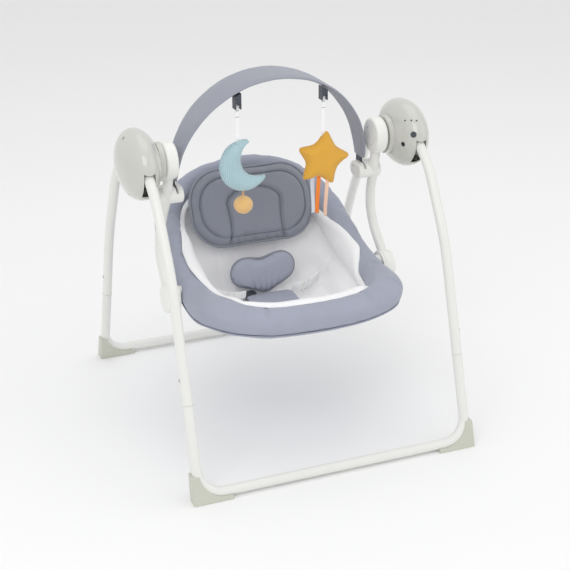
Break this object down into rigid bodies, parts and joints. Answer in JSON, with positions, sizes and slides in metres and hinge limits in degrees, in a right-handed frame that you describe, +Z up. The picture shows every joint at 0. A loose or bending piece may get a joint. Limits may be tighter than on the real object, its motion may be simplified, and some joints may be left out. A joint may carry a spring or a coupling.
{
  "type": "baby swing",
  "caption": "Portable baby swing: a padded seat hung on two curved arms from round pods, carried by two folding tube frames, with an arched toy bar over it.",
  "frame": {"origin": "on the floor, in the middle of the footprint", "axes": "+Z up, X along the swing axis, the child faces -Y"},
  "size_m": [0.67, 0.73, 0.7445],
  "materials": {
    "white_tube": "smooth powder coat, warm white",
    "pod_shell": "glossy light grey shell",
    "cream_plastic": "satin cream plastic",
    "foot_plastic": "satin grey-green plastic",
    "steel": "bare bright steel",
    "bush_plastic": "self-lubricating bush plastic",
    "copper": "enamelled winding",
    "board": "coated board",
    "dark_plastic": "satin charcoal plastic",
    "cell": "printed jacket without text",
    "light": "small dark lens",
    "grey_fabric": "woven blue-grey cover",
    "slate_fabric": "woven slate cover",
    "white_fabric": "soft white fabric",
    "moon_fabric": "ribbed light blue knit",
    "ball_fabric": "short plush",
    "star_fabric": "mustard weave",
    "ribbon": "satin ribbon"
  },
  "bodies": {
    "pods": {"left_pod_inner": "pod_shell", "left_pod_outer": "pod_shell", "right_pod_inner": "pod_shell", "right_pod_outer": "pod_shell", "battery_door": "pod_shell", "leg_pivot_pins": "steel", "pod_screws": "steel", "swing_bushes": "bush_plastic", "drive_coil": "copper", "circuit_board": "board", "speaker": "dark_plastic", "batteries": "cell", "battery_tray": "cream_plastic", "indicator_lights": "light", "power_inlet": "dark_plastic"},
    "power_key": {"power_button": "dark_plastic"},
    "front_legs": {"front_leg_left": "white_tube", "front_leg_right": "white_tube", "front_floor_tube": "white_tube", "front_snap_buttons": "steel", "front_leg_knuckles": "cream_plastic", "front_feet": "foot_plastic"},
    "rear_legs": {"rear_leg_left": "white_tube", "rear_leg_right": "white_tube", "rear_floor_tube": "white_tube", "rear_snap_buttons": "steel", "rear_leg_knuckles": "cream_plastic", "rear_feet": "foot_plastic"},
    "swing": {"swing_shafts": "steel", "drive_lever": "steel", "drive_magnet": "steel", "left_hub": "cream_plastic", "right_hub": "cream_plastic", "left_swing_arm": "white_tube", "right_swing_arm": "white_tube", "toy_bar_brackets": "cream_plastic", "bracket_pins": "steel", "recline_housings": "cream_plastic"},
    "seat": {"seat_frame_ring": "steel", "seat_brackets": "cream_plastic", "recline_pins": "steel", "seat_border": "grey_fabric", "seat_liner": "white_fabric", "seat_cover": "grey_fabric", "head_pillow": "slate_fabric", "crotch_pad": "grey_fabric", "crotch_strap": "grey_fabric", "buckle": "dark_plastic", "waist_straps": "white_fabric"},
    "toy_bar": {"toy_bar_sleeve": "grey_fabric", "toy_bar_strip": "dark_plastic", "toy_bar_ends": "dark_plastic", "toy_clips": "dark_plastic"},
    "moon": {"moon_strap": "white_fabric", "moon_toy": "moon_fabric"},
    "ball": {"ball_toy": "ball_fabric"},
    "star": {"star_strap": "white_fabric", "star_toy": "star_fabric", "star_ribbons": "ribbon"}
  },
  "joints": [
    {"name": "front_fold", "type": "hinge", "parent": "pods", "child": "front_legs", "pos_m": [0, -0.058, 0.614], "axis": [1, 0, 0], "range_deg": [0, 26]},
    {"name": "rear_fold", "type": "hinge", "parent": "pods", "child": "rear_legs", "pos_m": [0, 0.02, 0.601], "axis": [-1, 0, 0], "range_deg": [0, 28]},
    {"name": "swing_axis", "type": "hinge", "parent": "pods", "child": "swing", "pos_m": [0, -0.02, 0.588], "axis": [1, 0, 0], "range_deg": [-14, 14]},
    {"name": "seat_recline", "type": "hinge", "parent": "swing", "child": "seat", "pos_m": [0, -0.048, 0.302], "axis": [-1, 0, 0], "range_deg": [0, 12]},
    {"name": "toy_bar_tilt", "type": "hinge", "parent": "swing", "child": "toy_bar", "pos_m": [0, 0.019, 0.513], "axis": [1, 0, 0], "range_deg": [-20, 20]},
    {"name": "moon_hang", "type": "hinge", "parent": "toy_bar", "child": "moon", "pos_m": [-0.09, -0.044, 0.69], "axis": [1, 0, 0], "range_deg": [-40, 40]},
    {"name": "ball_hang", "type": "hinge", "parent": "moon", "child": "ball", "pos_m": [-0.08, -0.044, 0.5096], "axis": [1, 0, 0], "range_deg": [-30, 30]},
    {"name": "star_hang", "type": "hinge", "parent": "toy_bar", "child": "star", "pos_m": [0.097, -0.044, 0.69], "axis": [1, 0, 0], "range_deg": [-40, 40]},
    {"name": "power_press", "type": "slide", "parent": "pods", "child": "power_key", "axis": [0.6543, 0.716, -0.2433], "range_m": [0, 0.0012], "stiffness_N_per_m": 300}
  ]
}
